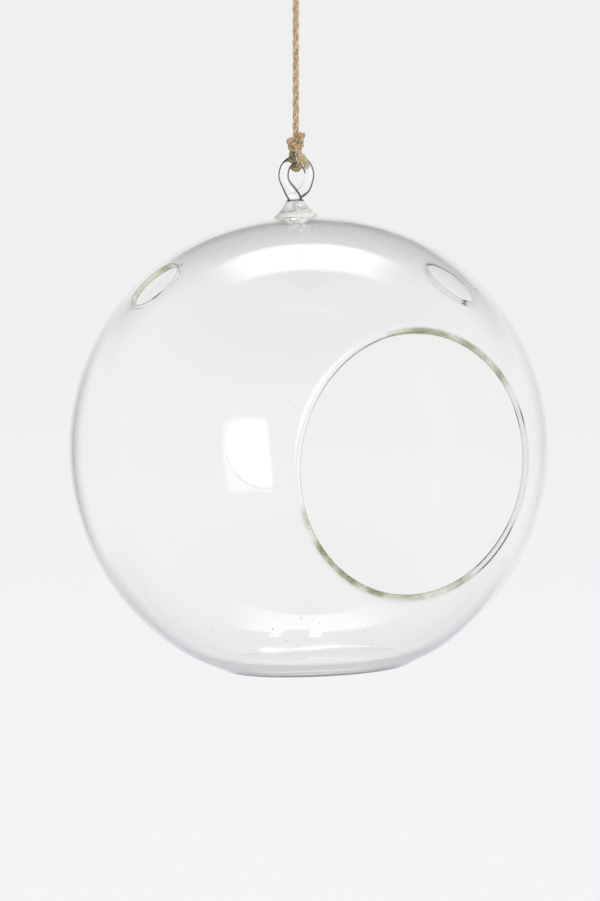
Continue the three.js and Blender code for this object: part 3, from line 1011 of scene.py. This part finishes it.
def glass_material():
    """Clear soda glass, faintly olive through its depth, with a barely uneven surface."""
    material, tree, surface = new_material("clear_glass")
    solid, lip, olive, painted_limb_shade, glint = map(tree.mark, ("solid", "lip", "olive", "painted_limb_shade", "glint"))
    # Painted shade: the wall is tinted grey where it is seen on edge
    facing = tree.add("LayerWeight", "Facing", {"Blend": 0.5})
    clear = tree.mix(painted_limb_shade, rgba(1), tree.ramp(facing, PAINTED_LIMB_RAMP))
    # Rods, foot and lips are thick; their dark outlines are painted shade, tinted in by these marks
    inputs = {0: lip, 1: LIP_PAINTED_OUTLINE, 2: solid}
    thick = tree.add("Math", 0, inputs, operation="MULTIPLY_ADD", use_clamp=True)
    outline = tree.span(facing, 0.16, 0.43, kind="SMOOTHSTEP")
    tint = tree.mix(tree.math("MULTIPLY", outline, thick), clear, rgba(0.004))
    place = tree.add("TexCoord", "Object")
    tree.put(surface, {
        "Base Color": tint,
        "Specular Tint": tint,
        "Roughness": 0.0,
        "IOR": 1.5,
        "Transmission Weight": 1.0,
        "Normal": tree.bump(tree.noise(place, 55, 1.5), 0.35, 0.00012),
    })
    depth = tree.add("VolumeAbsorption", 0, {"Color": (0.72, 0.83, 0.25, 1), "Density": 4})
    # Light that runs along inside the wall comes out at the lips, unevenly, and shows olive
    patches = tree.noise(place, 120, 2)
    shown = tree.math("MULTIPLY", tree.span(patches, 0.36, 0.60, 0.25, 0.72), olive)
    tones = tree.ramp(patches, [(0.35, (1.0, 1.0, 0.72)), (0.62, (0.43, 0.45, 0.22))])
    sides = [tree.add(kind, 0, {"Color": tones}) for kind in ("BsdfDiffuse", "BsdfTranslucent")]
    mixed = tree.shaders(shown, surface.outputs[0], tree.shaders(0.5, *sides))
    # Painted highlight: the marked stroke at the back of the floor glows
    painted_stroke = tree.add("Emission", 0, {"Strength": tree.math("MULTIPLY", glint, PAINTED_GLINT)})
    lit = tree.add("AddShader", 0, {0: mixed, 1: painted_stroke})
    # Light caught between the wall's faces goes round and round: it ends as the mean of the room
    caught = tree.math("GREATER_THAN", tree.add("LightPath", "Ray Depth"), MOST_BOUNCES)
    height = tree.span(tree.add("SeparateXYZ", "Z", {0: place}), -0.24, -0.08)
    mean = tree.mix(olive, tree.ramp(height, ROOM_MEAN), (0.42, 0.45, 0.23, 1))
    spent = tree.add("Emission", 0, {"Color": mean})
    show(tree, Surface=tree.shaders(caught, lit, spent), Volume=depth)
    return material


# Studio
FLOOR_HEIGHT = -0.8
FLOOR_RADIUS = 60
BACKGROUND = 0.87
# Where the ceiling starts and is full, in degrees up, and how bright it is: near the camera, behind
CEILINGS = [(30, 60, 0.60), (7, 18, 0.24)]
# How far to the side of straight behind the darker room begins to end, and ends
AHEAD = radians(22), radians(55)
# The floor by tens of metres from under the globe: its colour, painted darker near the globe as
# shade, and a painted shade ring that only the glass shows behind the globe
FLOOR_COLOURS_AND_PAINTED_SHADE = [(0.06, 0.78), (0.20, (0.90, 0.915, 0.93)), (0.55, BACKGROUND)]
FLOOR_PAINTED_DIM = 0.74, 0.75, 0.79
FLOOR_PAINTED_SHADE = [(0.05, 1), (0.085, FLOOR_PAINTED_DIM), (0.125, FLOOR_PAINTED_DIM), (0.155, 1)]
LAMP_DISTANCE = 1.2
# The bracket at the overhead lamp's far edge: its place, half width and the wings beside it
BRACKET_SIDE = 0.068
BRACKET = 0.055
BRACKET_END = -0.13
WING = 0.16
WING_GAP = 0.045
CROWN_BOUNCES = 3.5


def ray_mix(tree, seen, unseen):
    """Shader seen by camera, glossy and transmission rays, and the one that the rest meet."""
    camera, glossy, through = (
        tree.add("LightPath", f"Is {kind} Ray") for kind in ("Camera", "Glossy", "Transmission")
    )
    either = tree.math("MAXIMUM", tree.math("MAXIMUM", camera, glossy), through)
    return tree.shaders(either, unseen, seen)


def ahead(tree, direction):
    """1 behind the globe as the camera sees it, and 0 beside it and round the camera itself."""
    views = ACROSS_VIEW, ALONG_VIEW
    parts = [tree.vectors("DOT_PRODUCT", "Value", direction, view) for view in views]
    turn = tree.math("ABSOLUTE", tree.math("ARCTAN2", *parts))
    return tree.span(turn, *AHEAD, 1, 0)


def direct_or_not(tree, direct, other):
    """The colour that the camera meets, and the one that shows in or through the glass."""
    return tree.mix(tree.add("LightPath", "Is Camera Ray"), other, direct)


def make_world():
    """A pale room with a dark ceiling, which is what the crown of the globe shows."""
    world = bpy.context.scene.world = bpy.data.worlds.new("studio")
    tree = Nodes(world)
    direction = tree.add("TexCoord", "Generated")
    height = tree.add("SeparateXYZ", "Z", {0: direction})
    ceilings = []
    for start, end, level in CEILINGS:
        low, high = math.sin(radians(start)), math.sin(radians(end))
        ceilings.append(tree.ramp(height, [(low, BACKGROUND), (high, level)], "EASE"))
    colour = direct_or_not(tree, rgba(BACKGROUND), tree.mix(ahead(tree, direction), *ceilings))
    tree.put(tree.nodes["Background"], {"Color": colour})


def flat_mesh(name, make, **sizes):
    """A flat mesh made by one of bmesh's makers."""
    mesh = bpy.data.meshes.new(name)
    bm = bmesh.new()
    make(bm, **sizes)
    bm.to_mesh(mesh)
    bm.free()
    return mesh


def make_floor():
    sizes = {"segments": 96, "radius": FLOOR_RADIUS}
    floor = linked("floor", flat_mesh("floor", bmesh.ops.create_circle, cap_ends=True, **sizes))
    floor.location.z = FLOOR_HEIGHT
    material, tree, surface = new_material("pale_floor")
    tree.put(surface, {"Base Color": rgba(0.8), "Roughness": 0.9, "Specular IOR Level": 0.0})
    place = tree.add("TexCoord", "Object")
    away = tree.math("DIVIDE", tree.vectors("LENGTH", "Value", place), 10)
    # Painted shade: the floor is darker near the globe, and darker still in a ring behind it as the
    # glass shows it
    colour = tree.ramp(away, FLOOR_COLOURS_AND_PAINTED_SHADE, "EASE")
    shaded = tree.vectors("MULTIPLY", "Vector", colour, tree.ramp(away, FLOOR_PAINTED_SHADE, "EASE"))
    other = tree.mix(ahead(tree, place), colour, shaded)
    glow = tree.add("Emission", 0, {"Color": direct_or_not(tree, colour, other)})
    show(tree, Surface=ray_mix(tree, glow, surface.outputs[0]))
    floor.data.materials.append(material)


def soft_edge(tree, coordinate, half, fade):
    """1 inside a lamp and 0 outside its fading edge, along one of its sides."""
    return tree.span(tree.math("ABSOLUTE", coordinate), half, half + fade, 1, 0, "SMOOTHSTEP")


def past_bracket(tree, across, along):
    """A lamp's far edge: it reaches further on both sides of a dark bracket."""
    aside = tree.math("ADD", across, -BRACKET_SIDE)
    # Only the floor of the globe shows the bracket; on the crown it is behind the lamp's front
    deep = tree.math("GREATER_THAN", tree.add("LightPath", "Ray Depth"), CROWN_BOUNCES)
    wings = tree.math("MULTIPLY", soft_edge(tree, aside, BRACKET + WING_GAP, 0.03), deep)
    moved = tree.math("MULTIPLY_ADD", wings, -WING, tree.math("MULTIPLY", along, -1))
    bracket = tree.math("MULTIPLY", soft_edge(tree, aside, BRACKET, 0.02), deep)
    inside = tree.math("LESS_THAN", along, BRACKET_END)
    left = tree.math("SUBTRACT", 1, tree.math("MULTIPLY", bracket, inside))
    return tree.math("MAXIMUM", tree.math("MAXIMUM", along, moved), 0), left


def make_softbox(name, toward, half_sides, fades, radiance, bracket=False):
    """A soft lamp that faces the globe, bright in its middle and fading at its edges."""
    lamp = linked(name, flat_mesh(name, bmesh.ops.create_grid, x_segments=1, y_segments=1, size=1))
    reach = half_sides[1] + fades[1] + (WING if bracket else 0)
    lamp.data.transform(Matrix.Diagonal((half_sides[0] + fades[0], reach, 1, 1)))
    beside_globe(lamp, toward.normalized(), LAMP_DISTANCE)
    lamp.rotation_quaternion = (-toward).to_track_quat("Z", "Y")
    lamp.visible_camera = False
    material, tree, surface = new_material(name)
    tree.nodes.remove(surface)
    place = tree.add("TexCoord", "Object")
    x, edge = (tree.add("SeparateXYZ", axis, {0: place}) for axis in "XY")
    across, left = soft_edge(tree, x, half_sides[0], fades[0]), 1
    if bracket:
        edge, left = past_bracket(tree, x, edge)
    along = soft_edge(tree, edge, half_sides[1], fades[1])
    share = tree.math("MULTIPLY", tree.math("MULTIPLY", across, along), left)
    glow = tree.add("Emission", 0, {"Strength": radiance})
    show(tree, Surface=tree.shaders(share, tree.add("BsdfTransparent", 0), glow))
    lamp.data.materials.append(material)


def make_lights():
    make_softbox("overhead_lamp", from_camera(2, 108), (0.16, 0.20), (0.5, 0.07), 3.0, True)
    make_softbox("side_lamp", from_camera(33.2, 3), (0.22, 0.3), (0.08, 0.14), 3.6)


bpy.context.scene.view_settings.view_transform = "Standard"
make_camera()
make_twine()
make_glass()
make_world()
make_floor()
make_lights()
